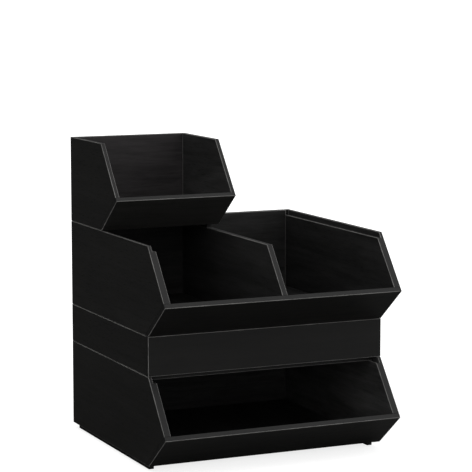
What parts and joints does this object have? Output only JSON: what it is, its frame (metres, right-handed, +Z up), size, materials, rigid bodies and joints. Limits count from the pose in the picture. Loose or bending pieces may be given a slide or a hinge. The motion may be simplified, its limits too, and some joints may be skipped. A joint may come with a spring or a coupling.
{
  "type": "cube storage unit",
  "caption": "Stackable storage unit in black-stained wood: open-front bins with leaning fronts and a divided tray, each tier lifting off the one below.",
  "frame": {"origin": "middle of the footprint on the floor, with the tiers stacked: centre of the width, and half way between the back plane and the front boards' noses", "axes": "+X is the unit's right seen from the front, -Y is the open front, +Z is up and is the direction each tier lifts off"},
  "size_m": [0.36, 0.3645, 0.4389],
  "materials": {
    "stained_outer_board": "black stain under thin satin lacquer",
    "stained_inner_board": "black stain under thin satin lacquer, a little thinner inside",
    "stained_cleat": "black stain, unlacquered underside"
  },
  "bodies": {
    "open_bin": {"open_bin_side_left": "stained_outer_board", "open_bin_side_right": "stained_outer_board", "open_bin_back": "stained_inner_board", "open_bin_front": "stained_outer_board", "open_bin_floor": "stained_inner_board", "open_bin_runner_left": "stained_cleat", "open_bin_runner_right": "stained_cleat"},
    "tray": {"tray_side_left": "stained_outer_board", "tray_side_right": "stained_outer_board", "tray_back": "stained_inner_board", "tray_front": "stained_outer_board", "tray_floor": "stained_inner_board", "tray_divider_left": "stained_inner_board", "tray_divider_centre": "stained_inner_board", "tray_divider_right": "stained_inner_board", "tray_runner_left": "stained_cleat", "tray_runner_right": "stained_cleat", "tray_rail_front": "stained_cleat", "tray_rail_back": "stained_cleat"},
    "divided_bin": {"divided_bin_side_left": "stained_outer_board", "divided_bin_side_right": "stained_outer_board", "divided_bin_back": "stained_inner_board", "divided_bin_front": "stained_outer_board", "divided_bin_floor": "stained_inner_board", "divided_bin_divider": "stained_inner_board", "divided_bin_runner_left": "stained_cleat", "divided_bin_runner_right": "stained_cleat"},
    "small_bin": {"small_bin_side_left": "stained_outer_board", "small_bin_side_right": "stained_outer_board", "small_bin_back": "stained_inner_board", "small_bin_front": "stained_outer_board", "small_bin_floor": "stained_inner_board", "small_bin_runner_left": "stained_cleat", "small_bin_runner_right": "stained_cleat"}
  },
  "joints": [
    {"name": "tray_lift", "type": "slide", "parent": "open_bin", "child": "tray", "axis": [0, 0, 1], "range_m": [0, 0.056]},
    {"name": "divided_bin_lift", "type": "slide", "parent": "tray", "child": "divided_bin", "axis": [0, 0, 1], "range_m": [0, 0.054]},
    {"name": "small_bin_lift", "type": "slide", "parent": "divided_bin", "child": "small_bin", "axis": [0, 0, 1], "range_m": [0, 0.058]}
  ]
}
